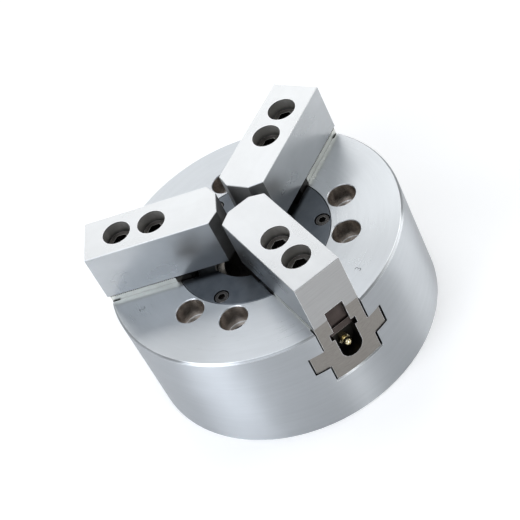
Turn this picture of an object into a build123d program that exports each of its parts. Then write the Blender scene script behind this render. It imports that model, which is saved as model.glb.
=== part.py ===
from build123d import *
import os
from math import cos, radians, sin, tan

# A three-jaw wedge-type power chuck with an open centre, 210 mm across, in millimetres.
# +Z runs along the chuck's axis towards the jaws and Z = 0 is the rear mounting face.
# Every jaw group is built along +X and then turned about Z to its station.
# The chuck is open: the plunger is fully forward and the jaw ends are level with the body's outside.

os.makedirs("parts", exist_ok=True)

# Stations about the axis, in degrees
jaw_angles = {1: 30, 2: 150, 3: 270}
sector_angles = [90, 210, 330]
detent_angle = sector_angles[0]

# Body
body_radius = 105
body_height = 85
body_edge = 1.5
recess_radius = 85
recess_depth = 5
plunger_bore_radius = 50.05
lip_radius = 44
lip_low = 65
cover_seat = 76
cover_recess_radius = 55.7
mounting_circle_radius = 66.7
mounting_hole_offset = 15
mounting_hole_radius = 6.75
mounting_counterbore_radius = 10
mounting_counterbore_depth = 16
hole_edge = 0.5

# Sliding clearance between a jaw and its slot. The slot's sides stand further off near its mouth,
# less so beside the jaw's neck, and the edge under the jaw's foot is broken
slide_gap = 0.15
slot_mouth_gap = 1.3
neck_mouth_gap = 1.0
slot_mouth_start = 97
slot_ledge_edge = 0.9

# Master jaw: a cross-shaped slide with a neck above the tongue and a foot below it
neck_half = 17.5
tongue_half = 28.3
foot_half = 17.9
foot_low = 38
tongue_low = 51.2
tongue_high = 67.2
joint_height = 90
master_jaw_end_radius = 104.2
master_jaw_nose = 44.5
master_jaw_nose_low = 76.4
neck_inner = 48.2
slide_inner = 54.2

# Serrated joint between master jaw and top jaw: 1.5 mm pitch, 50 degree teeth. The master jaw's teeth
# are tall with narrow crests, and the top jaw's teeth are cut short, so a row of small gaps shows
tooth_pitch = 1.5
tooth_crest = 0.15
tooth_tip = 1.25
tooth_half_angle = 25
tooth_gap = 0.05

# T-slot in the master jaw, with a round-bottomed pocket below it at the outer end
t_slot_inner = 49
t_slot_half = 7.1
t_slot_flange_half = 10.5
t_slot_low = 70.6
t_slot_shoulder = 76.8
channel_half = 6.5
channel_low = 66
channel_outer = 88
pocket_half = 8.2
pocket_centre = 56.8
pocket_inner = 93

# T-nut
t_nut_inner = 49.4
t_nut_outer = 100.6
t_nut_neck_setback = 1.2
t_nut_low = 71
t_nut_shoulder = 76.5
t_nut_high = 95.4
t_nut_half = 6.95
t_nut_flange_half = 10.2

# Soft top jaw
top_jaw_nose = 10
top_jaw_end = 104.5
top_jaw_half = 17.5
top_jaw_high = 128
nose_chamfer_radial = 6.3
nose_chamfer_side = 9
top_jaw_edge = 0.4
keyway_half = 7.1
keyway_high = 96
jaw_bolt_radii = [56.25, 81.25]
jaw_bolt_seat = 108
jaw_bolt_hole_radius = 6.5
jaw_bolt_counterbore_radius = 10

# M12 socket head cap screw that holds a top jaw
m12_radius = 5.95
m12_length = 35
m12_head_radius = 9
m12_head_height = 12
m12_socket = 10
m12_socket_depth = 6
m12_tapped_radius = 6

# M6 socket head cap screw that holds the cover
m6_radius = 2.95
m6_length = 12
m6_head_radius = 5
m6_head_height = 6
m6_socket = 5
m6_socket_depth = 3
m6_tapped_radius = 3
screw_edge = 0.5

# Centre cover
cover_radius = 55.3
cover_spigot_radius = 43.7
cover_spigot_low = 72
cover_hole_radius = 31.5
cover_edge = 0.4
cover_notch_half = 18.4
cover_screw_circle_radius = 49.25
cover_screw_seat = 78.6
cover_screw_hole_radius = 3.3
cover_screw_counterbore_radius = 5.6

# Wedge: the jaws' hooks run in T-grooves that lean inwards towards the front
wedge_angle = 13
wedge_radius = 41.2
wedge_height = 54
hook_low = 42
hook_high = 66
hook_half_thickness = 2.75
hook_neck_half = 8
hook_head_half = 13
hook_gap = 0.3

# Wedge plunger
plunger_low = 22
plunger_step = 64
plunger_high = 71.5
plunger_radius = 50
plunger_hub_radius = 43.6
plunger_inner_radius = 32.05
plunger_counterbore_radius = 36.3
plunger_counterbore_high = 32.3
plunger_edge = 1

# Draw nut, turning inside the plunger
nut_radius = 32
nut_flange_radius = 36
nut_flange_low = 26.6
nut_flange_high = 32
nut_low = 22.4
nut_high = 70
nut_inner_radius = 26
nut_thread_radius = 28.92
nut_thread_high = 46
nut_slot_count = 6
nut_slot_width = 7
nut_slot_depth = 5
nut_edge = 0.6

# Ring that keeps the nut in the plunger
ring_inner_radius = 32.4
ring_outer_radius = 36.2
ring_low = 22
ring_high = 26.3
ring_pin_hole_radius = 1.1
ring_pin_hole_depth = 2.5

# Detent that holds the nut's setting: ball, spring and set screw in a radial hole
detent_height = 50
detent_hole_radius = 3.05
detent_ball_radius = 2.9
detent_ball_tip = 32.1
detent_spring_radius = 2.1
detent_spring_wire_radius = 0.35
detent_spring_coils = 4
detent_screw_inner = 44.4
detent_screw_outer = 49.2
detent_screw_radius = 2.95
detent_socket = 3
detent_socket_depth = 2.5
flute_count = 12
flute_radius = 1.6
flute_depth = 0.5
flute_half_height = 5

# Grease nipple, M6, screwed into the back of the pocket
nipple_thread_radius = 2.95
nipple_thread_length = 8
nipple_hole_radius = 3
nipple_hex = 7
nipple_hex_thickness = 3
nipple_neck_radius = 1.9
nipple_ball_radius = 3
nipple_length = 8.5
nipple_tip_radius = 0.9
nipple_tip_depth = 0.6

# Room for cutters to run past the surfaces they cut
overrun = 6


def station_plane(angle, radius):
    """A plane facing outwards at a station: local x runs across the jaw and local y runs up."""
    outwards = (cos(radians(angle)), sin(radians(angle)), 0)
    across = (-outwards[1], outwards[0], 0)
    return Plane(origin=Vector(*outwards) * radius, x_dir=across, z_dir=outwards)


def upright(half_width, low, high):
    """A rectangle on a station plane, centred across the jaw and running from one height to another."""
    with Locations((0, (low + high) / 2)):
        Rectangle(2 * half_width, high - low)


def outline(points):
    """A closed face on the XZ plane through corners given as radius and height."""
    with BuildSketch(Plane.XZ) as sketch:
        with BuildLine():
            Polyline(*points, close=True)
        make_face()
    return sketch.sketch


def turn_section(points):
    """Revolves a half section, given as radius and height, about the chuck's axis."""
    revolve(outline(points), axis=Axis.Z)


def side_profile(points, half_width, mode=Mode.ADD):
    """Extrudes an outline, given as radius and height, to both sides of the jaw's middle plane."""
    extrude(outline(points), amount=half_width, both=True, mode=mode)


def turned_to(piece, angle):
    """A copy of a piece, turned about the chuck's axis."""
    with BuildPart() as turned:
        add(piece.part, rotation=(0, 0, angle))
    return turned


def save(piece, name):
    """Names a finished piece and writes it out."""
    piece.part.label = name
    export_step(piece.part, f"parts/{name}.step")


def wedge_line(height, offset):
    """Radius of the leaning groove at a height, moved outwards by an offset."""
    return wedge_radius - (height - wedge_height) * tan(radians(wedge_angle)) + offset


def leaning_outline(low, high, inner_offset, outer_offset):
    """A four-sided outline whose two long sides both follow the leaning groove."""
    return [
        (wedge_line(low, inner_offset), low),
        (wedge_line(low, outer_offset), low),
        (wedge_line(high, outer_offset), high),
        (wedge_line(high, inner_offset), high),
    ]


def leaning_neck_outline(low, high, outer_radius):
    """An outline from the middle of the leaning groove out to a fixed radius."""
    return [
        (wedge_line(low, 0), low),
        (outer_radius, low),
        (outer_radius, high),
        (wedge_line(high, 0), high),
    ]


def cap_screw(shank_radius, length, head_radius, head_height, socket, socket_depth):
    """A socket head cap screw standing on Z = 0, where the head meets what it clamps."""
    with BuildPart() as screw:
        turn_section([
            (0, -length),
            (shank_radius - screw_edge, -length),
            (shank_radius, screw_edge - length),
            (shank_radius, 0),
            (head_radius, 0),
            (head_radius, head_height - screw_edge),
            (head_radius - screw_edge, head_height),
            (0, head_height),
        ])
        with BuildSketch(Plane.XY.offset(head_height)) as hexagon:
            RegularPolygon(radius=socket / 2, side_count=6, major_radius=False)
        extrude(hexagon.sketch, amount=-socket_depth, mode=Mode.SUBTRACT)
    return screw


# Where the teeth stand: the crest's centre line repeats every pitch along the jaw
tooth_slope = tan(radians(tooth_half_angle))
tooth_depth = (tooth_pitch - tooth_crest) / 2 / tooth_slope
groove_apex = joint_height + tooth_crest / 2 / tooth_slope + tooth_gap
tip_height = groove_apex - (tooth_pitch - tooth_tip) / 2 / tooth_slope
crest_centres = [tooth_pitch * (index + 0.5) for index in range(round(body_radius / tooth_pitch) + 1)]

# ---------------------------------------------------------------- Body
slot_cuts = [
    (lip_radius - overrun, slide_gap, slide_gap),
    (slot_mouth_start, neck_mouth_gap, slot_mouth_gap),
]
with BuildPart() as chuck_body:
    turn_section([
        (plunger_bore_radius, recess_depth),
        (recess_radius, recess_depth),
        (recess_radius, 0),
        (body_radius - body_edge, 0),
        (body_radius, body_edge),
        (body_radius, body_height - body_edge),
        (body_radius - body_edge, body_height),
        (cover_recess_radius, body_height),
        (cover_recess_radius, cover_seat),
        (lip_radius, cover_seat),
        (lip_radius, lip_low),
        (plunger_bore_radius, lip_low),
    ])
    # Cross-shaped slots that the master jaws slide in
    for angle in jaw_angles.values():
        for start, neck_gap, side_gap in slot_cuts:
            with BuildSketch(station_plane(angle, start)):
                upright(neck_half + neck_gap, tongue_high, body_height + overrun)
                upright(tongue_half + side_gap, tongue_low - slide_gap, tongue_high + slide_gap)
                upright(foot_half + side_gap, foot_low - slide_gap, tongue_low)
            extrude(amount=body_radius - start + overrun, mode=Mode.SUBTRACT)
    slot_ledges = (
        chuck_body.edges()
        .filter_by(GeomType.CIRCLE)
        .filter_by_position(Axis.Z, foot_low - 2 * slide_gap, foot_low)
        .filter_by(lambda edge: edge.radius > body_radius - slot_ledge_edge)
    )
    chamfer(slot_ledges, slot_ledge_edge)
    # Six counterbored holes for the bolts that hold the chuck to the spindle
    for angle in sector_angles:
        for side in (-1, 1):
            with PolarLocations(mounting_circle_radius, 1, start_angle=angle + side * mounting_hole_offset):
                with Locations((0, 0, body_height)):
                    CounterBoreHole(
                        mounting_hole_radius, mounting_counterbore_radius, mounting_counterbore_depth
                    )
    rims = (
        chuck_body.edges()
        .filter_by(GeomType.CIRCLE)
        .filter_by_position(Axis.Z, body_height, body_height)
        .filter_by(lambda edge: edge.radius < mounting_counterbore_radius + hole_edge)
    )
    chamfer(rims, hole_edge)
    # Tapped holes for the cover's screws
    with PolarLocations(cover_screw_circle_radius, 3, start_angle=detent_angle):
        with Locations((0, 0, cover_seat)):
            Hole(m6_tapped_radius, depth=cover_seat - lip_low - 1)
save(chuck_body, "chuck_body")

# ---------------------------------------------------------------- Centre cover
with BuildPart() as centre_cover:
    turn_section([
        (cover_hole_radius, cover_spigot_low),
        (cover_spigot_radius, cover_spigot_low),
        (cover_spigot_radius, cover_seat),
        (cover_radius, cover_seat),
        (cover_radius, body_height - cover_edge),
        (cover_radius - cover_edge, body_height),
        (cover_hole_radius + cover_edge, body_height),
        (cover_hole_radius, body_height - cover_edge),
    ])
    # Notches that the master jaws pass through, above the spigot ring
    for angle in jaw_angles.values():
        with BuildSketch(station_plane(angle, 0)):
            upright(cover_notch_half, cover_seat, body_height + overrun)
        extrude(amount=cover_radius + overrun, mode=Mode.SUBTRACT)
    with PolarLocations(cover_screw_circle_radius, 3, start_angle=detent_angle):
        with Locations((0, 0, body_height)):
            CounterBoreHole(
                cover_screw_hole_radius, cover_screw_counterbore_radius, body_height - cover_screw_seat
            )
save(centre_cover, "centre_cover")

cover_screw = cap_screw(m6_radius, m6_length, m6_head_radius, m6_head_height, m6_socket, m6_socket_depth)
with BuildPart() as cover_screws:
    with PolarLocations(cover_screw_circle_radius, 3, start_angle=detent_angle):
        with Locations((0, 0, cover_screw_seat)):
            add(cover_screw.part)
save(cover_screws, "cover_screws")

# ---------------------------------------------------------------- Wedge plunger
groove_low = hook_low - 2 * hook_gap
groove_high = plunger_high + overrun
groove_offset = hook_half_thickness + hook_gap
with BuildPart() as groove:
    side_profile(
        leaning_outline(groove_low, groove_high, -groove_offset, groove_offset), hook_head_half + hook_gap
    )
    side_profile(
        leaning_neck_outline(groove_low, groove_high, plunger_radius + overrun), hook_neck_half + hook_gap
    )

with BuildPart() as wedge_plunger:
    turn_section([
        (plunger_counterbore_radius, plunger_low),
        (plunger_radius - plunger_edge, plunger_low),
        (plunger_radius, plunger_low + plunger_edge),
        (plunger_radius, plunger_step - plunger_edge),
        (plunger_radius - plunger_edge, plunger_step),
        (plunger_hub_radius, plunger_step),
        (plunger_hub_radius, plunger_high),
        (plunger_inner_radius, plunger_high),
        (plunger_inner_radius, plunger_counterbore_high),
        (plunger_counterbore_radius, plunger_counterbore_high),
    ])
    # Leaning T-grooves, open at the front and at the outside
    for angle in jaw_angles.values():
        add(groove.part, rotation=(0, 0, angle), mode=Mode.SUBTRACT)
    # Radial hole for the nut's detent
    with BuildSketch(station_plane(detent_angle, 0)):
        with Locations((0, detent_height)):
            Circle(detent_hole_radius)
    extrude(amount=plunger_radius + overrun, mode=Mode.SUBTRACT)
save(wedge_plunger, "wedge_plunger")

# ---------------------------------------------------------------- Draw nut and its retaining ring
with BuildPart() as draw_nut:
    turn_section([
        (nut_thread_radius, nut_low),
        (nut_radius, nut_low),
        (nut_radius, nut_flange_low),
        (nut_flange_radius, nut_flange_low),
        (nut_flange_radius, nut_flange_high),
        (nut_radius, nut_flange_high),
        (nut_radius, nut_high - nut_edge),
        (nut_radius - nut_edge, nut_high),
        (nut_inner_radius + nut_edge, nut_high),
        (nut_inner_radius, nut_high - nut_edge),
        (nut_inner_radius, nut_thread_high),
        (nut_thread_radius, nut_thread_high),
    ])
    # Slots in the front end for the key that turns the nut
    for index in range(nut_slot_count // 2):
        with BuildSketch(Plane.XY.offset(nut_high - nut_slot_depth)):
            Rectangle(2 * nut_flange_radius, nut_slot_width, rotation=index * 360 / nut_slot_count)
        extrude(amount=nut_slot_depth + overrun, mode=Mode.SUBTRACT)
    # Flutes that the detent ball clicks into, with the ball now resting between two of them
    with BuildSketch(Plane.XY.offset(detent_height - flute_half_height)):
        with PolarLocations(
            nut_radius + flute_radius - flute_depth, flute_count, start_angle=detent_angle + 180 / flute_count
        ):
            Circle(flute_radius)
    extrude(amount=2 * flute_half_height, mode=Mode.SUBTRACT)
save(draw_nut, "draw_nut")

with BuildPart() as retaining_ring:
    turn_section([
        (ring_inner_radius, ring_low),
        (ring_outer_radius, ring_low),
        (ring_outer_radius, ring_high),
        (ring_inner_radius, ring_high),
    ])
    with BuildSketch(Plane.XY.offset(ring_low)):
        with PolarLocations((ring_inner_radius + ring_outer_radius) / 2, 4):
            Circle(ring_pin_hole_radius)
    extrude(amount=ring_pin_hole_depth, mode=Mode.SUBTRACT)
save(retaining_ring, "draw_nut_retaining_ring")

# ---------------------------------------------------------------- Detent
with BuildPart() as detent_ball:
    with Locations((0, detent_ball_tip + detent_ball_radius, detent_height)):
        Sphere(detent_ball_radius)
save(detent_ball, "detent_ball")

spring_start = detent_ball_tip + 2 * detent_ball_radius + detent_spring_wire_radius
spring_length = detent_screw_inner - detent_spring_wire_radius - spring_start
with BuildPart() as detent_spring:
    with BuildLine() as coil:
        Helix(
            pitch=spring_length / detent_spring_coils,
            height=spring_length,
            radius=detent_spring_radius,
            center=(0, spring_start, detent_height),
            direction=(0, 1, 0),
        )
    with BuildSketch(Plane(origin=coil.line @ 0, z_dir=coil.line % 0)):
        Circle(detent_spring_wire_radius)
    sweep()
save(detent_spring, "detent_spring")

with BuildPart() as detent_set_screw:
    with BuildSketch(station_plane(detent_angle, detent_screw_inner)):
        with Locations((0, detent_height)):
            Circle(detent_screw_radius)
    extrude(amount=detent_screw_outer - detent_screw_inner)
    with BuildSketch(station_plane(detent_angle, detent_screw_outer)):
        with Locations((0, detent_height)):
            RegularPolygon(radius=detent_socket / 2, side_count=6, major_radius=False)
    extrude(amount=-detent_socket_depth, mode=Mode.SUBTRACT)
save(detent_set_screw, "detent_set_screw")

# ---------------------------------------------------------------- Master jaw, built along +X
crests = []
for centre in crest_centres:
    crests.append((centre - tooth_crest / 2, joint_height))
    crests.append((centre + tooth_crest / 2, joint_height))
    crests.append((centre + tooth_pitch / 2, joint_height - tooth_depth))

with BuildPart() as master_jaw:
    # Neck with its serrated top, longer than needed at both ends
    side_profile([(0, tongue_low)] + crests + [(crests[-1][0], tongue_low)], neck_half)
    with BuildSketch(station_plane(0, 0)):
        upright(tongue_half, tongue_low, tongue_high)
        upright(foot_half, foot_low, tongue_low)
    extrude(amount=body_radius + overrun)
    # Round outer end and straight inner end
    with BuildSketch(Plane.XY.offset(foot_low)):
        Circle(master_jaw_end_radius)
        with Locations(((master_jaw_nose + body_radius) / 2, 0)):
            Rectangle(body_radius - master_jaw_nose, 2 * body_radius, mode=Mode.INTERSECT)
    extrude(amount=joint_height - foot_low, mode=Mode.INTERSECT)
    # Underside stepped back so that it clears the cover's spigot and the plunger when it slides in
    side_profile(
        [
            (0, foot_low - overrun),
            (slide_inner, foot_low - overrun),
            (slide_inner, tongue_high),
            (neck_inner, tongue_high),
            (neck_inner, master_jaw_nose_low),
            (0, master_jaw_nose_low),
        ],
        body_radius,
        mode=Mode.SUBTRACT,
    )
    # Hook that runs in the plunger's leaning groove
    side_profile(
        leaning_outline(hook_low, hook_high, -hook_half_thickness, hook_half_thickness), hook_head_half
    )
    side_profile(leaning_neck_outline(hook_low, hook_high, slide_inner), hook_neck_half)
    # T-slot for the nut, closed at its inner end
    with BuildSketch(station_plane(0, t_slot_inner)):
        upright(t_slot_half, t_slot_shoulder, joint_height + overrun)
        upright(t_slot_flange_half, t_slot_low, t_slot_shoulder)
    extrude(amount=body_radius, mode=Mode.SUBTRACT)
    # Clearance channel under the bolts' tips
    with BuildSketch(station_plane(0, t_slot_inner)):
        upright(channel_half, channel_low, t_slot_low)
    extrude(amount=channel_outer - t_slot_inner, mode=Mode.SUBTRACT)
    # Round-bottomed pocket that the grease nipple stands in, and its tapped hole
    with BuildSketch(station_plane(0, pocket_inner)):
        upright(pocket_half, pocket_centre, t_slot_low)
        with Locations((0, pocket_centre)):
            Circle(pocket_half)
    extrude(amount=body_radius, mode=Mode.SUBTRACT)
    with BuildSketch(station_plane(0, pocket_inner)):
        with Locations((0, pocket_centre)):
            Circle(nipple_hole_radius)
    extrude(amount=-nipple_thread_length - 1, mode=Mode.SUBTRACT)

# ---------------------------------------------------------------- T-nut, built along +X
with BuildPart() as t_nut:
    with BuildSketch(station_plane(0, t_nut_inner)):
        upright(t_nut_flange_half, t_nut_low, t_nut_shoulder)
    extrude(amount=t_nut_outer - t_nut_inner)
    with BuildSketch(station_plane(0, t_nut_inner + t_nut_neck_setback)):
        upright(t_nut_half, t_nut_low, t_nut_high)
    extrude(amount=t_nut_outer - t_nut_inner - 2 * t_nut_neck_setback)
    with Locations([(radius, 0, t_nut_high) for radius in jaw_bolt_radii]):
        Hole(m12_tapped_radius)

# ---------------------------------------------------------------- Soft top jaw, built along +X
grooves = []
for centre in crest_centres:
    grooves.append((centre, groove_apex))
    grooves.append((centre + (tooth_pitch - tooth_tip) / 2, tip_height))
    grooves.append((centre + (tooth_pitch + tooth_tip) / 2, tip_height))

with BuildPart() as top_jaw:
    side_profile([(0, top_jaw_high), (0, groove_apex)] + grooves + [(grooves[-1][0], top_jaw_high)], top_jaw_half)
    # Plan outline with the nose's two corners cut off
    with BuildSketch(Plane.XY.offset(tip_height)):
        with BuildLine():
            Polyline(
                (top_jaw_end, -top_jaw_half),
                (top_jaw_end, top_jaw_half),
                (top_jaw_nose + nose_chamfer_radial, top_jaw_half),
                (top_jaw_nose, top_jaw_half - nose_chamfer_side),
                (top_jaw_nose, nose_chamfer_side - top_jaw_half),
                (top_jaw_nose + nose_chamfer_radial, -top_jaw_half),
                close=True,
            )
        make_face()
    extrude(amount=top_jaw_high - tip_height, mode=Mode.INTERSECT)
    chamfer(top_jaw.faces().sort_by(Axis.Z)[-1].edges(), top_jaw_edge)
    # Keyway for the T-nut's neck, right along the underside
    with BuildSketch(station_plane(0, 0)):
        upright(keyway_half, tip_height - overrun, keyway_high)
    extrude(amount=body_radius + overrun, mode=Mode.SUBTRACT)
    with Locations([(radius, 0, top_jaw_high) for radius in jaw_bolt_radii]):
        CounterBoreHole(jaw_bolt_hole_radius, jaw_bolt_counterbore_radius, top_jaw_high - jaw_bolt_seat)

jaw_bolt = cap_screw(m12_radius, m12_length, m12_head_radius, m12_head_height, m12_socket, m12_socket_depth)
with BuildPart() as jaw_bolts:
    with Locations([(radius, 0, jaw_bolt_seat) for radius in jaw_bolt_radii]):
        add(jaw_bolt.part)

# ---------------------------------------------------------------- Grease nipple, built along +X
nipple_axis = Axis((0, 0, pocket_centre), (1, 0, 0))
nipple_ball_centre = pocket_inner + nipple_length - nipple_ball_radius
with BuildPart() as grease_nipple:
    with BuildSketch(station_plane(0, pocket_inner - nipple_thread_length)):
        with Locations((0, pocket_centre)):
            Circle(nipple_thread_radius)
    extrude(amount=nipple_thread_length)
    with BuildSketch(station_plane(0, pocket_inner)):
        with Locations((0, pocket_centre)):
            RegularPolygon(radius=nipple_hex / 2, side_count=6, major_radius=False)
    extrude(amount=nipple_hex_thickness)
    with BuildSketch(station_plane(0, pocket_inner + nipple_hex_thickness)):
        with Locations((0, pocket_centre)):
            Circle(nipple_neck_radius)
    extrude(amount=nipple_ball_centre - pocket_inner - nipple_hex_thickness)
    with Locations((nipple_ball_centre, 0, pocket_centre)):
        Sphere(nipple_ball_radius)
    with BuildSketch(station_plane(0, nipple_ball_centre + nipple_ball_radius - nipple_tip_depth)):
        with Locations((0, pocket_centre)):
            Circle(nipple_tip_radius)
    extrude(amount=overrun, mode=Mode.SUBTRACT)

# ---------------------------------------------------------------- One set of jaw pieces at each station
for number, angle in jaw_angles.items():
    save(turned_to(master_jaw, angle), f"master_jaw_{number}")
    save(turned_to(t_nut, angle), f"t_nut_{number}")
    save(turned_to(top_jaw, angle), f"soft_top_jaw_{number}")
    save(turned_to(jaw_bolts, angle), f"top_jaw_bolts_{number}")
    save(turned_to(grease_nipple, angle), f"grease_nipple_{number}")
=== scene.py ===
"""The looks of a three-jaw power chuck for a lathe: its finishes, its stamped jaw numbers and a studio.

Lengths are in metres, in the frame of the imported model. The chuck's back lies on z = 0 and its axis is Z.
Jaw 1 points 30 degrees from +X, jaw 2 points to 150 degrees and jaw 3 points along -Y.
"""

import math

import bpy
from mathutils import Matrix, Vector


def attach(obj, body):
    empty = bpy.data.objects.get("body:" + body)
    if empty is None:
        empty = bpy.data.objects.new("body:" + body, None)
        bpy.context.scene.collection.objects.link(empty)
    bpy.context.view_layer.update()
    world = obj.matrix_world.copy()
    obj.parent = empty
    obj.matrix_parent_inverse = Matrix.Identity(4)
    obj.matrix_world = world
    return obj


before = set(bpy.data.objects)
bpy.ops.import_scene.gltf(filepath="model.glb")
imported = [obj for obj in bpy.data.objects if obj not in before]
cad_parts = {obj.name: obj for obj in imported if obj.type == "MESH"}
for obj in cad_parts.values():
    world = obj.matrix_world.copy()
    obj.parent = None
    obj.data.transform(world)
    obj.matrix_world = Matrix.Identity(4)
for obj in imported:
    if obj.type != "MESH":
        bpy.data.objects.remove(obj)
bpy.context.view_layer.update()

MM = 0.001

# ---- the chuck, as the CAD has it ----
JAW_ANGLES = {1: 30, 2: 150, 3: 270}
BODY_RADIUS = 105 * MM
FACE_HEIGHT = 85 * MM
JAW_TOP = 128 * MM
JOINT_HEIGHT = 90 * MM          # where a top jaw's teeth stand in the master jaw's
JAW_HALF_WIDTH = 17.5 * MM
JAW_END_RADIUS = 104.2 * MM
MOUNTING_CIRCLE = 66.7 * MM
MOUNTING_SPREAD = 15            # degrees from a sector's middle to each of its two holes
MOUNTING_WELL_RADIUS = 10 * MM
MOUNTING_SEAT = 69 * MM
JAW_BOLT_RADII = (56.25 * MM, 81.25 * MM)
JAW_WELL_RADIUS = 10 * MM
RECESS_DEPTH = 5 * MM
COVER_RADIUS = 55.3 * MM
FOOT_LOW = 38 * MM              # underside of a master jaw's foot

# ---- the stamped jaw numbers ----
NUMBER_HEIGHT = 4.6 * MM
NUMBER_RADIUS = 87.7 * MM       # from the chuck's axis
NUMBER_TURN = 22.1              # degrees from the jaw's middle
NUMBER_PROUD = 0.03 * MM
NUMBER_THINNED = 0.1 * MM       # off each side of the strokes
FIGURE_SHARE = 0.7              # a figure's height over the font's size

# ---- the camera ----
CAMERA_PLACE = (-0.18707, -0.78756, 0.82411)
CAMERA_RIGHT = (0.783071, -0.51675, -0.346075)
CAMERA_UP = (0.599161, 0.477622, 0.64256)
LENS = 112.7
SENSOR = 36

# ---- the studio ----
SKY_COLOUR = (0.96, 0.98, 1.0)
SKY_STRENGTH = 0.38
FLOOR_HALF_SIDE = 4.0
FLOOR_GLOW = 0.22              # around the chuck; none under it
FLOOR_DARK = (0.90, 0.905, 0.91)
FLOOR_LIGHT = (0.93, 0.93, 0.93)
AIM = Vector((0, 0, 0.08))
# name: azimuth and elevation in degrees, distance, width, height, power in watts
SOFT_BOXES = {
    "back_box": (67, 36, 1.5, 1.3, 0.76, 4.7),
    "high_box": (80, 66, 1.5, 0.9, 0.4, 2.1),
    "left_back_box": (140, 38, 1.5, 0.6, 0.6, 2.2),
    "right_back_box": (18, 34, 1.5, 0.6, 0.6, 0.5),
    "right_box": (-17, 42, 1.5, 0.8, 0.6, 2.2),
    "left_key": (194, 11, 1.2, 0.68, 0.46, 7.5),
    "right_key": (-17, 3, 1.2, 0.7, 0.26, 5.0),
    "left_box": (-146, 40, 1.5, 1.6, 1.0, 5.8),
    "front_strip": (-87, 12, 1.2, 0.16, 0.5, 3.3),
}
COOL_BOXES = ("high_box", "left_back_box", "left_key", "left_box")
COOL_COLOUR = (0.95, 0.985, 1.05)

# ---- finishes ----
NOISE_LOW = 0.3                 # most of a noise's values lie between these two
NOISE_HIGH = 0.7
FINE_GRAIN = 2600               # grains per metre across ground lines and scratches
TURNING_GRAIN = 2500            # along the turning lines: grains per thousand radians
SCRATCH_LOW = 0.70              # only a noise's peaks between these two make scratches
SCRATCH_HIGH = 0.76
EDGE_SAMPLES = 6
FLAT_EDGE = 0.995               # how squarely a rounded normal meets the true one, off an edge and on it
SHARP_EDGE = 0.90
FACE_ROUGHNESS = 0.28
SIDE_ROUGHNESS = 0.42
BODY_BRUSHING = 0.85
ACROSS_LINES = 0.25             # of a turn, from along the turning lines to across them
BLACK_METAL_BRUSHING = 0.4

# ---- colours of the finishes, linear ----
GROUND_DARK = (0.460, 0.48, 0.497)
GROUND_LIGHT = (0.537, 0.56, 0.580)
TURNED_DARK = (0.358, 0.375, 0.392)
TURNED_LIGHT = (0.420, 0.44, 0.460)
# Worn edges, and a painted highlight on the edges of the body, its mounting seats and the jaws
EDGE_WEAR_AND_HIGHLIGHT = (0.93, 0.94, 0.95)
JAW_DARK = (0.505, 0.515, 0.522)
JAW_LIGHT = (0.580, 0.592, 0.600)
# Painted shade: the top jaw's sides and ends are darker copies of its top's steel
SHADED_JAW_SIDE_DARK = (0.395, 0.412, 0.425)
SHADED_JAW_SIDE_LIGHT = (0.455, 0.474, 0.489)
SHADED_JAW_END_DARK = (0.308, 0.308, 0.306)
SHADED_JAW_END_LIGHT = (0.352, 0.352, 0.350)
# Painted light: the bolt wells of the top jaws are painted brighter than the jaw's steel
LIT_JAW_WELL_DARK = (0.62, 0.61, 0.58)
LIT_JAW_WELL_LIGHT = (0.80, 0.79, 0.76)
MASTER_DARK = (0.195, 0.182, 0.166)
MASTER_LIGHT = (0.245, 0.232, 0.214)
MASTER_SIDE_DARK = (0.54, 0.55, 0.515)
MASTER_SIDE_LIGHT = (0.70, 0.71, 0.665)
# Painted shade: near black for the walls and gaps that the parts hide from the light
PAINTED_SHADE_DARK = (0.022, 0.020, 0.018)
PAINTED_SHADE_LIGHT = (0.060, 0.056, 0.050)
WELL_DARK = (0.36, 0.31, 0.27)
WELL_LIGHT = (0.62, 0.56, 0.50)
OXIDE_DARK = (0.045, 0.042, 0.040)
OXIDE_LIGHT = (0.085, 0.080, 0.076)
OXIDE_EDGE = (0.45, 0.44, 0.43)
# Worn bolt-head edges, painted near white as a highlight
BOLT_EDGE_WEAR_AND_HIGHLIGHT = (0.80, 0.79, 0.77)
T_NUT_DARK = (0.040, 0.031, 0.028)
T_NUT_LIGHT = (0.075, 0.060, 0.055)
T_NUT_EDGE = (0.33, 0.30, 0.28)
COVER_DARK = (0.078, 0.088, 0.101)
COVER_LIGHT = (0.118, 0.131, 0.146)
COVER_EDGE = (0.30, 0.32, 0.35)
PLUNGER_DARK = (0.035, 0.032, 0.029)
PLUNGER_LIGHT = (0.075, 0.070, 0.064)
NUT_DARK = (0.11, 0.105, 0.096)
NUT_LIGHT = (0.20, 0.19, 0.175)
NUT_EDGE = (0.22, 0.215, 0.20)
NUMBER_DARK = (0.10, 0.105, 0.11)
NUMBER_LIGHT = (0.22, 0.23, 0.24)
BRASS_DARK = (0.55, 0.47, 0.27)
BRASS_LIGHT = (0.78, 0.70, 0.47)
BRASS_EDGE = (0.95, 0.90, 0.72)


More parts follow.
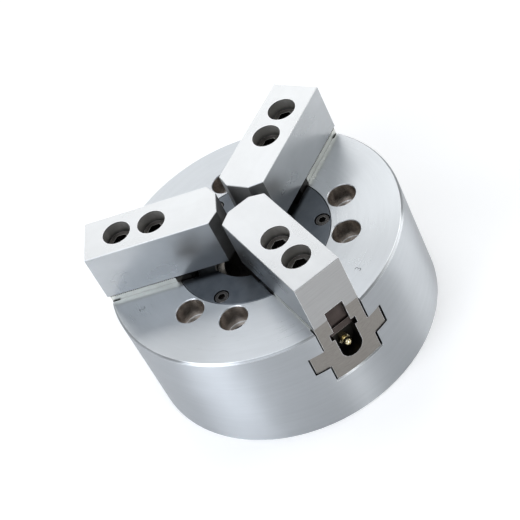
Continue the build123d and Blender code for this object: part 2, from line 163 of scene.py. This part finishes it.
class Finish:
    """One procedural material, built node by node."""

    def __init__(self, name, metallic=1.0):
        self.material = bpy.data.materials.new(name)
        self.material.use_nodes = True
        self.tree = self.material.node_tree
        self.tree.nodes.clear()
        self.shader = self.node("ShaderNodeBsdfPrincipled")
        self.shader.inputs["Metallic"].default_value = metallic
        output = self.node("ShaderNodeOutputMaterial")
        self.link(self.shader.outputs["BSDF"], output.inputs["Surface"])
        self.coordinates = self.node("ShaderNodeTexCoord")

    def node(self, kind, **settings):
        made = self.tree.nodes.new(kind)
        for setting, value in settings.items():
            setattr(made, setting, value)
        return made

    def link(self, source, target):
        self.tree.links.new(source, target)

    def feed(self, value, target):
        """Links a socket to the target, or sets a plain value on it."""
        if isinstance(value, bpy.types.NodeSocket):
            self.link(value, target)
        else:
            target.default_value = value

    def math(self, operation, *values):
        made = self.node("ShaderNodeMath", operation=operation)
        for value, target in zip(values, made.inputs):
            self.feed(value, target)
        return made.outputs[0]

    def ranged(self, value, low, high, to_low=0.0, to_high=1.0):
        """The value, clamped to low..high and stretched to to_low..to_high."""
        made = self.node("ShaderNodeMapRange")
        for number, target in zip((value, low, high, to_low, to_high), made.inputs):
            self.feed(number, target)
        return made.outputs[0]

    def from_noise(self, noise, to_low=0.0, to_high=1.0):
        """A noise's usual values, stretched to to_low..to_high."""
        return self.ranged(noise, NOISE_LOW, NOISE_HIGH, to_low, to_high)

    def all_of(self, *masks):
        """Where every mask is 1."""
        product = masks[0]
        for mask in masks[1:]:
            product = self.math("MULTIPLY", product, mask)
        return product

    def mixed(self, factor, first, second):
        """A colour between first and second."""
        made = self.node("ShaderNodeMix", data_type="RGBA")
        self.feed(factor, made.inputs[0])
        for colour, target in zip((first, second), (made.inputs[6], made.inputs[7])):
            if not isinstance(colour, bpy.types.NodeSocket):
                colour = (*colour, 1.0)
            self.feed(colour, target)
        return made.outputs[2]

    def turned(self, angle):
        """Coordinates with X pointing along a jaw at this angle in degrees."""
        made = self.node("ShaderNodeMapping")
        made.inputs["Rotation"].default_value = (0, 0, -math.radians(angle))
        self.link(self.coordinates.outputs["Object"], made.inputs["Vector"])
        return made.outputs[0]

    def along_jaw(self, angle):
        """How squarely the surface faces along the jaw: 1 on an end, 0 on its sides and top."""
        made = self.node("ShaderNodeMapping", vector_type="NORMAL")
        made.inputs["Rotation"].default_value = (0, 0, -math.radians(angle))
        self.link(self.coordinates.outputs["Normal"], made.inputs["Vector"])
        return self.math("ABSOLUTE", self.split(made.outputs[0])[0])

    def facing_up(self):
        """1 where the surface faces up, 0 on upright surfaces."""
        return self.split(self.coordinates.outputs["Normal"])[2]

    def split(self, vector):
        made = self.node("ShaderNodeSeparateXYZ")
        self.link(vector, made.inputs[0])
        return made.outputs[0], made.outputs[1], made.outputs[2]

    def round(self):
        """Radius, angle and height about the chuck's axis."""
        x, y, height = self.split(self.coordinates.outputs["Object"])
        return self.length(x, y), self.math("ARCTAN2", y, x), height

    def length(self, x, y):
        """Length of the vector x, y."""
        squares = self.math("ADD", self.math("MULTIPLY", x, x), self.math("MULTIPLY", y, y))
        return self.math("SQRT", squares)

    def joined(self, first, second, third):
        made = self.node("ShaderNodeCombineXYZ")
        for value, target in zip((first, second, third), made.inputs):
            self.feed(value, target)
        return made.outputs[0]

    def noise(self, vector, stretch, detail=2.0, roughness=0.55):
        """Noise whose grains are as long in each direction as one over the stretch."""
        scaled = self.node("ShaderNodeMapping")
        scaled.inputs["Scale"].default_value = stretch
        self.link(vector, scaled.inputs["Vector"])
        made = self.node("ShaderNodeTexNoise")
        made.inputs["Scale"].default_value = 1.0
        made.inputs["Detail"].default_value = detail
        made.inputs["Roughness"].default_value = roughness
        self.link(scaled.outputs[0], made.inputs["Vector"])
        return made.outputs[0]

    def edges(self, radius):
        """1 on sharp edges, 0 on flat surfaces."""
        softened = self.node("ShaderNodeBevel", samples=EDGE_SAMPLES)
        softened.inputs["Radius"].default_value = radius
        plain = self.node("ShaderNodeNewGeometry")
        product = self.node("ShaderNodeVectorMath", operation="DOT_PRODUCT")
        self.link(softened.outputs[0], product.inputs[0])
        self.link(plain.outputs["Normal"], product.inputs[1])
        return self.ranged(product.outputs["Value"], FLAT_EDGE, SHARP_EDGE)

    def scratches(self, vector, lean):
        """Sparse hairline scratches that run at this angle, in degrees."""
        made = self.node("ShaderNodeMapping")
        lean = math.radians(lean)
        made.inputs["Rotation"].default_value = (lean / 2, lean, lean)
        self.link(vector, made.inputs["Vector"])
        streaks = self.noise(made.outputs[0], (45, FINE_GRAIN, FINE_GRAIN), 1.0)
        return self.ranged(streaks, SCRATCH_LOW, SCRATCH_HIGH)

    def relief(self, *layers):
        """Bump from layers of height and depth in metres."""
        normal = None
        for height, depth in layers:
            bump = self.node("ShaderNodeBump")
            bump.inputs["Distance"].default_value = depth
            self.link(height, bump.inputs["Height"])
            if normal is not None:
                self.link(normal, bump.inputs["Normal"])
            normal = bump.outputs[0]
        self.link(normal, self.shader.inputs["Normal"])

    def paint(self, colour, roughness):
        self.link(colour, self.shader.inputs["Base Color"])
        self.link(roughness, self.shader.inputs["Roughness"])
        return self.material

    def brushed_round(self, strength):
        """Gloss that spreads across the turning lines around the chuck's axis."""
        self.shader.inputs["Anisotropic"].default_value = strength
        self.shader.inputs["Anisotropic Rotation"].default_value = ACROSS_LINES
        tangent = self.node("ShaderNodeTangent", direction_type="RADIAL", axis="Z")
        self.link(tangent.outputs[0], self.shader.inputs["Tangent"])


def turning_lines(finish, grain):
    """Fine circular lines, as a lathe or a rotary grinder leaves them."""
    radius, angle, height = finish.round()
    vector = finish.joined(radius, finish.math("MULTIPLY", angle, MM), height)
    return finish.noise(vector, (1 / grain, TURNING_GRAIN, 1 / grain), 3.0)


def from_mounting_hole(finish, radius, angle):
    """Distance in the face's plane from the nearest mounting hole's centre, by the cosine rule."""
    sector = math.radians(60)
    turned = finish.math("WRAP", finish.math("SUBTRACT", angle, math.pi / 2), sector, -sector)
    off_hole = finish.math("SUBTRACT", finish.math("ABSOLUTE", turned), math.radians(MOUNTING_SPREAD))
    squares = finish.math("ADD", finish.math("MULTIPLY", radius, radius), MOUNTING_CIRCLE ** 2)
    product = finish.math("MULTIPLY", finish.math("MULTIPLY", radius, 2 * MOUNTING_CIRCLE),
                          finish.math("COSINE", off_hole))
    return finish.math("SQRT", finish.math("MAXIMUM", finish.math("SUBTRACT", squares, product), 0.0))


def inner_walls(finish, radius, height):
    """1 on the body's walls inside its slots, holes and bore, and 0 on its face, outside and back."""
    slot_mouth = finish.all_of(
        finish.ranged(radius, BODY_RADIUS - 0.1 * MM, BODY_RADIUS - 0.2 * MM),
        finish.ranged(height, FOOT_LOW, FOOT_LOW + 0.2 * MM),
        finish.ranged(height, FACE_HEIGHT - 1.6 * MM, FACE_HEIGHT - 1.7 * MM),
    )
    further_in = finish.ranged(radius, BODY_RADIUS - 0.7 * MM, BODY_RADIUS - 1.0 * MM)
    return finish.all_of(
        finish.ranged(height, FACE_HEIGHT - 0.4 * MM, FACE_HEIGHT - 0.8 * MM),
        finish.ranged(height, RECESS_DEPTH + 0.5 * MM, RECESS_DEPTH + 1.5 * MM),
        finish.math("MAXIMUM", slot_mouth, further_in),
    )


def body_edges(finish, radius, height):
    """1 where a highlight is painted: on the edges of the face and its rim, outside the cover, and on the
    ledges under the jaws.
    """
    by_face = finish.ranged(height, FACE_HEIGHT - 2 * MM, FACE_HEIGHT - 1.9 * MM)
    by_ledge = finish.ranged(height, FOOT_LOW + 0.3 * MM, FOOT_LOW)
    off_cover = finish.ranged(radius, COVER_RADIUS + 0.6 * MM, COVER_RADIUS + 1.2 * MM)
    return finish.all_of(finish.edges(0.5 * MM), finish.math("MAXIMUM", by_face, by_ledge), off_cover)


def body_steel():
    """Ground steel with circular lines and brownish mounting wells, with painted shade darkening the walls of
    its slots, holes and bore, and a painted highlight on its edges and mounting seats.
    """
    finish = Finish("ground_body_steel")
    place = finish.coordinates.outputs["Object"]
    radius, angle, height = finish.round()
    lines = turning_lines(finish, 0.45 * MM)
    broad = turning_lines(finish, 2.6 * MM)
    clouds = finish.noise(place, (22, 22, 22), 3.0)

    hidden = inner_walls(finish, radius, height)
    in_well = finish.ranged(from_mounting_hole(finish, radius, angle),
                            MOUNTING_WELL_RADIUS + 0.6 * MM, MOUNTING_WELL_RADIUS + 0.2 * MM)
    drilled = finish.all_of(hidden, in_well)
    seat_highlight = finish.all_of(drilled, finish.math("COMPARE", height, MOUNTING_SEAT, 0.5 * MM))
    painted_highlight = finish.math("MAXIMUM", body_edges(finish, radius, height), seat_highlight)
    outside = finish.ranged(radius, BODY_RADIUS - 0.5 * MM, BODY_RADIUS - 0.1 * MM)

    tone = finish.math("ADD", finish.math("MULTIPLY", clouds, 0.7), finish.math("MULTIPLY", broad, 0.3))
    tone = finish.from_noise(tone)
    ground = finish.mixed(tone, GROUND_DARK, GROUND_LIGHT)
    turned = finish.mixed(tone, TURNED_DARK, TURNED_LIGHT)
    well = finish.mixed(finish.ranged(lines, 0.4, 0.7), WELL_DARK, WELL_LIGHT)
    colour = finish.mixed(outside, ground, turned)
    # Painted shade: the walls inside the slots, holes and bore are painted near black.
    colour = finish.mixed(hidden, colour, finish.mixed(lines, PAINTED_SHADE_DARK, PAINTED_SHADE_LIGHT))
    colour = finish.mixed(drilled, colour, well)
    # Painted highlight on the face's edges, its rim, the ledges under the jaws and the mounting seats.
    colour = finish.mixed(painted_highlight, colour, EDGE_WEAR_AND_HIGHLIGHT)

    gloss = finish.math("ADD", finish.ranged(outside, 0, 1, FACE_ROUGHNESS, SIDE_ROUGHNESS),
                        finish.from_noise(clouds, -0.03, 0.03))
    roughness = finish.math("ADD", gloss, finish.from_noise(lines, 0.0, 0.05))
    scratches = finish.scratches(place, 37)
    finish.relief((lines, 0.004 * MM), (broad, 0.002 * MM), (scratches, -0.008 * MM))
    finish.brushed_round(BODY_BRUSHING)
    return finish.paint(colour, roughness)


def jaw_lines(finish, place, end):
    """Grinding lines along the jaw, and across it where the surface faces along it."""
    lengthways = finish.noise(place, (14, 2300, 2300), 3.0)
    crossways = finish.noise(place, (FINE_GRAIN, 40, FINE_GRAIN), 3.0)
    sides = finish.math("MULTIPLY", lengthways, finish.math("SUBTRACT", 1.0, end))
    return finish.math("ADD", finish.math("MULTIPLY", crossways, end), sides)


def bolt_wells(finish, along, across, height):
    """1 in a top jaw's two bolt wells."""
    wells = []
    for bolt in JAW_BOLT_RADII:
        distance = finish.length(finish.math("SUBTRACT", along, bolt), across)
        wells.append(finish.ranged(distance, JAW_WELL_RADIUS + 0.5 * MM, JAW_WELL_RADIUS + 0.15 * MM))
    below_top = finish.ranged(height, JAW_TOP - 0.5 * MM, JAW_TOP - 0.9 * MM)
    return finish.all_of(finish.math("MAXIMUM", *wells), below_top)


def top_jaw_steel(number, angle):
    """Surface-ground soft steel. Its sides and end are painted darker than its top as painted shade, its bolt
    wells are painted brighter as painted light, the gaps between its teeth are painted dark as shade, and its
    edges carry a painted highlight.
    """
    finish = Finish(f"ground_top_jaw_{number}")
    place = finish.turned(angle)
    along, across, height = finish.split(place)
    end = finish.ranged(finish.along_jaw(angle), 0.6, 0.9)
    lines = jaw_lines(finish, place, end)
    clouds = finish.noise(place, (30, 45, 45), 3.0)
    mottle = finish.from_noise(clouds)

    above_teeth = finish.ranged(height, JOINT_HEIGHT + 1.0 * MM, JOINT_HEIGHT + 1.4 * MM)
    edge = finish.all_of(finish.edges(0.45 * MM), above_teeth)
    off_centre = finish.math("ABSOLUTE", across)
    within = finish.ranged(off_centre, JAW_HALF_WIDTH - 0.1 * MM, JAW_HALF_WIDTH - 0.3 * MM)
    underside = finish.all_of(within, finish.math("SUBTRACT", 1.0, above_teeth),
                              finish.math("SUBTRACT", 1.0, end))
    drilled = bolt_wells(finish, along, across, height)
    level = finish.ranged(finish.facing_up(), 0.4, 0.6)

    # Painted shade: the sides and the end are darker copies of the top's steel.
    side = finish.mixed(mottle, SHADED_JAW_SIDE_DARK, SHADED_JAW_SIDE_LIGHT)
    top = finish.mixed(mottle, JAW_DARK, JAW_LIGHT)
    colour = finish.mixed(level, side, top)
    colour = finish.mixed(end, colour, finish.mixed(finish.from_noise(lines), SHADED_JAW_END_DARK, SHADED_JAW_END_LIGHT))
    # Painted light: the bolt wells are painted brighter than the jaw's steel.
    colour = finish.mixed(drilled, colour, finish.mixed(mottle, LIT_JAW_WELL_DARK, LIT_JAW_WELL_LIGHT))
    # Painted highlight on the jaw's edges above the teeth.
    colour = finish.mixed(edge, colour, EDGE_WEAR_AND_HIGHLIGHT)
    # Painted shade: the gaps between the teeth are painted near black.
    colour = finish.mixed(underside, colour, PAINTED_SHADE_DARK)
    gloss = finish.from_noise(clouds, 0.26, 0.32)
    duller = finish.math("MULTIPLY", finish.math("MAXIMUM", end, drilled), 0.16)
    scratches = finish.scratches(place, 64)
    finish.relief((lines, 0.004 * MM), (scratches, -0.006 * MM))
    return finish.paint(colour, finish.math("ADD", gloss, duller))


def master_jaw_steel(number, angle):
    """Hardened, ground steel: a brownish outer end, light strips above the face, a painted highlight on the
    edges below the teeth, and painted shade, near black, everywhere else.
    """
    finish = Finish(f"hardened_master_jaw_{number}")
    place = finish.turned(angle)
    along, across, height = finish.split(place)
    radius, _, _ = finish.round()
    end = finish.ranged(finish.along_jaw(angle), 0.6, 0.9)
    lines = jaw_lines(finish, place, end)
    clouds = finish.noise(place, (40, 55, 55), 3.0)

    off_centre = finish.math("ABSOLUTE", across)
    strip = finish.all_of(
        finish.ranged(off_centre, JAW_HALF_WIDTH - 0.3 * MM, JAW_HALF_WIDTH - 0.1 * MM),
        finish.ranged(height, FACE_HEIGHT - 0.4 * MM, FACE_HEIGHT),
        finish.ranged(along, COVER_RADIUS - 0.2 * MM, COVER_RADIUS),
    )
    far_out = finish.ranged(radius, JAW_END_RADIUS - 0.9 * MM, JAW_END_RADIUS - 0.5 * MM)
    shown = finish.math("MAXIMUM", strip, finish.all_of(end, far_out))
    below_teeth = finish.ranged(height, JOINT_HEIGHT - 1.6 * MM, JOINT_HEIGHT - 2.0 * MM)
    edge = finish.all_of(finish.edges(0.35 * MM), below_teeth)

    side = finish.mixed(finish.from_noise(clouds), MASTER_SIDE_DARK, MASTER_SIDE_LIGHT)
    face = finish.mixed(finish.from_noise(lines), MASTER_DARK, MASTER_LIGHT)
    covered = finish.mixed(clouds, PAINTED_SHADE_DARK, PAINTED_SHADE_LIGHT)
    colour = finish.mixed(end, side, face)
    # Painted highlight on the master jaw's edges below the teeth.
    colour = finish.mixed(edge, colour, EDGE_WEAR_AND_HIGHLIGHT)
    # Painted shade: all of the master jaw that the body hides is painted near black.
    colour = finish.mixed(shown, covered, colour)
    roughness = finish.from_noise(clouds, 0.28, 0.38)
    finish.relief((lines, 0.005 * MM), (finish.scratches(place, 21), -0.006 * MM))
    return finish.paint(colour, roughness)


def mottled_metal(name, dark, light, edge_colour, gloss, round_lines=False):
    """A mottled metal with worn edges, which are also a painted highlight where the edge colour is bright, as
    on the jaw bolts: blackened or oiled steel, spring wire, a ball or brass.
    """
    finish = Finish(name)
    place = finish.coordinates.outputs["Object"]
    clouds = finish.noise(place, (70, 70, 70), 4.0)
    grain = finish.noise(place, (1500, 1500, 1500), 2.0)
    edge = finish.edges(0.35 * MM)
    edge_wear_and_highlight = finish.math("MULTIPLY", edge, finish.ranged(clouds, 0.25, 0.6, 0.35, 1.0))
    colour = finish.mixed(finish.from_noise(clouds), dark, light)
    # Worn edges; on the jaw bolts they are painted near white as a highlight.
    colour = finish.mixed(edge_wear_and_highlight, colour, edge_colour)
    roughness = finish.ranged(finish.math("ADD", clouds, grain), 0.6, 1.4, gloss - 0.05, gloss + 0.07)
    if round_lines:
        finish.relief((turning_lines(finish, 0.5 * MM), 0.007 * MM), (grain, 0.002 * MM))
        finish.brushed_round(BLACK_METAL_BRUSHING)
    else:
        finish.relief((grain, 0.004 * MM), (finish.scratches(place, 48), -0.006 * MM))
    return finish.paint(colour, roughness)


def number_mark():
    """Stamped figures, darkened by the stamp."""
    finish = Finish("stamped_number", metallic=0.8)
    place = finish.coordinates.outputs["Object"]
    grain = finish.noise(place, (2200, 2200, 2200), 3.0)
    colour = finish.mixed(finish.from_noise(grain), NUMBER_DARK, NUMBER_LIGHT)
    finish.relief((grain, 0.02 * MM),)
    return finish.paint(colour, finish.from_noise(grain, 0.5, 0.7))


def dress(node, material):
    """Gives every material slot of a CAD node this finish."""
    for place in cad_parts[node].material_slots:
        place.material = material


def dress_all():
    cover = mottled_metal("black_cover", COVER_DARK, COVER_LIGHT, COVER_EDGE, 0.34, round_lines=True)
    screws = mottled_metal("black_screws", OXIDE_DARK, OXIDE_LIGHT, OXIDE_EDGE, 0.34)
    plunger = mottled_metal("oiled_plunger", PLUNGER_DARK, PLUNGER_LIGHT, NUT_DARK, 0.30, round_lines=True)
    nut = mottled_metal("turned_draw_nut", NUT_DARK, NUT_LIGHT, NUT_EDGE, 0.28, round_lines=True)
    ring = mottled_metal("black_ring", OXIDE_LIGHT, COVER_LIGHT, COVER_EDGE, 0.36, round_lines=True)
    ball = mottled_metal("polished_ball", GROUND_DARK, JAW_LIGHT, EDGE_WEAR_AND_HIGHLIGHT, 0.10)
    spring = mottled_metal("drawn_wire", NUT_LIGHT, NUT_EDGE, OXIDE_EDGE, 0.30)
    bolts = mottled_metal("black_jaw_bolts", OXIDE_DARK, OXIDE_LIGHT, BOLT_EDGE_WEAR_AND_HIGHLIGHT, 0.30)
    t_nut = mottled_metal("black_t_nut", T_NUT_DARK, T_NUT_LIGHT, T_NUT_EDGE, 0.34)
    brass = mottled_metal("brass_nipple", BRASS_DARK, BRASS_LIGHT, BRASS_EDGE, 0.22)
    dress("chuck_body", body_steel())
    dress("centre_cover", cover)
    dress("cover_screws", screws)
    dress("wedge_plunger", plunger)
    dress("draw_nut", nut)
    dress("draw_nut_retaining_ring", ring)
    dress("detent_ball", ball)
    dress("detent_spring", spring)
    dress("detent_set_screw", screws)
    for number, angle in JAW_ANGLES.items():
        dress(f"master_jaw_{number}", master_jaw_steel(number, angle))
        dress(f"soft_top_jaw_{number}", top_jaw_steel(number, angle))
        dress(f"t_nut_{number}", t_nut)
        dress(f"top_jaw_bolts_{number}", bolts)
        dress(f"grease_nipple_{number}", brass)


def stamp_number(number, angle, material):
    """The jaw's number on the face beside its slot, its top towards the chuck's axis."""
    words = bpy.data.curves.new(f"jaw_number_{number}_outline", "FONT")
    words.body = str(number)
    words.align_x = "CENTER"
    words.align_y = "CENTER"
    words.size = NUMBER_HEIGHT / FIGURE_SHARE
    words.extrude = NUMBER_PROUD
    words.offset = -NUMBER_THINNED
    outline = bpy.data.objects.new("outline", words)
    bpy.context.scene.collection.objects.link(outline)
    bpy.context.view_layer.update()
    mesh = bpy.data.meshes.new_from_object(outline)
    bpy.data.objects.remove(outline)
    mesh.name = f"jaw_number_{number}"
    turn = math.radians(angle + NUMBER_TURN)
    place = Vector((NUMBER_RADIUS * math.cos(turn), NUMBER_RADIUS * math.sin(turn), FACE_HEIGHT))
    mesh.transform(Matrix.Translation(place) @ Matrix.Rotation(turn + math.pi / 2, 4, "Z"))
    mesh.materials.clear()
    mesh.materials.append(material)
    piece = bpy.data.objects.new(f"jaw_number_{number}", mesh)
    bpy.context.scene.collection.objects.link(piece)
    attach(piece, "body")


def place_camera():
    data = bpy.data.cameras.new("camera")
    data.lens = LENS
    data.sensor_width = SENSOR
    data.clip_end = 20
    camera = bpy.data.objects.new("camera", data)
    right = Vector(CAMERA_RIGHT).normalized()
    back = right.cross(Vector(CAMERA_UP)).normalized()
    up = back.cross(right)
    turn = Matrix((right, up, back)).transposed().to_4x4()
    camera.matrix_world = Matrix.Translation(CAMERA_PLACE) @ turn
    bpy.context.scene.collection.objects.link(camera)
    bpy.context.scene.camera = camera


def light_studio():
    world = bpy.data.worlds.new("studio")
    world.use_nodes = True
    background = world.node_tree.nodes["Background"]
    background.inputs["Color"].default_value = (*SKY_COLOUR, 1.0)
    background.inputs["Strength"].default_value = SKY_STRENGTH
    bpy.context.scene.world = world
    bpy.context.scene.view_settings.view_transform = "Standard"
    for name, (azimuth, elevation, distance, width, height, power) in SOFT_BOXES.items():
        data = bpy.data.lights.new(name, "AREA")
        data.shape = "RECTANGLE"
        data.size = width
        data.size_y = height
        data.energy = power
        if name in COOL_BOXES:
            data.color = COOL_COLOUR
        box = bpy.data.objects.new(name, data)
        level = math.cos(math.radians(elevation))
        out = Vector((level * math.cos(math.radians(azimuth)), level * math.sin(math.radians(azimuth)),
                      math.sin(math.radians(elevation))))
        box.location = AIM + out * distance
        box.rotation_euler = out.to_track_quat("Z", "Y").to_euler()
        box.visible_camera = False
        bpy.context.scene.collection.objects.link(box)


def lay_floor():
    mesh = bpy.data.meshes.new("studio_floor")
    signs = ((-1, -1), (1, -1), (1, 1), (-1, 1))
    corners = [(FLOOR_HALF_SIDE * x, FLOOR_HALF_SIDE * y, 0.0) for x, y in signs]
    mesh.from_pydata(corners, [], [(0, 1, 2, 3)])
    finish = Finish("pale_floor", metallic=0.0)
    clouds = finish.noise(finish.coordinates.outputs["Object"], (3, 3, 3), 2.0)
    colour = finish.mixed(clouds, FLOOR_DARK, FLOOR_LIGHT)
    finish.shader.inputs["Emission Color"].default_value = (1.0, 1.0, 1.0, 1.0)
    radius, _, _ = finish.round()
    glow = finish.ranged(radius, BODY_RADIUS - 10 * MM, BODY_RADIUS, 0.0, FLOOR_GLOW)
    finish.link(glow, finish.shader.inputs["Emission Strength"])
    mesh.materials.append(finish.paint(colour, finish.from_noise(clouds, 0.6, 0.7)))
    floor = bpy.data.objects.new("studio_floor", mesh)
    bpy.context.scene.collection.objects.link(floor)


dress_all()
marks = number_mark()
for jaw_number, jaw_angle in JAW_ANGLES.items():
    stamp_number(jaw_number, jaw_angle, marks)
place_camera()
light_studio()
lay_floor()
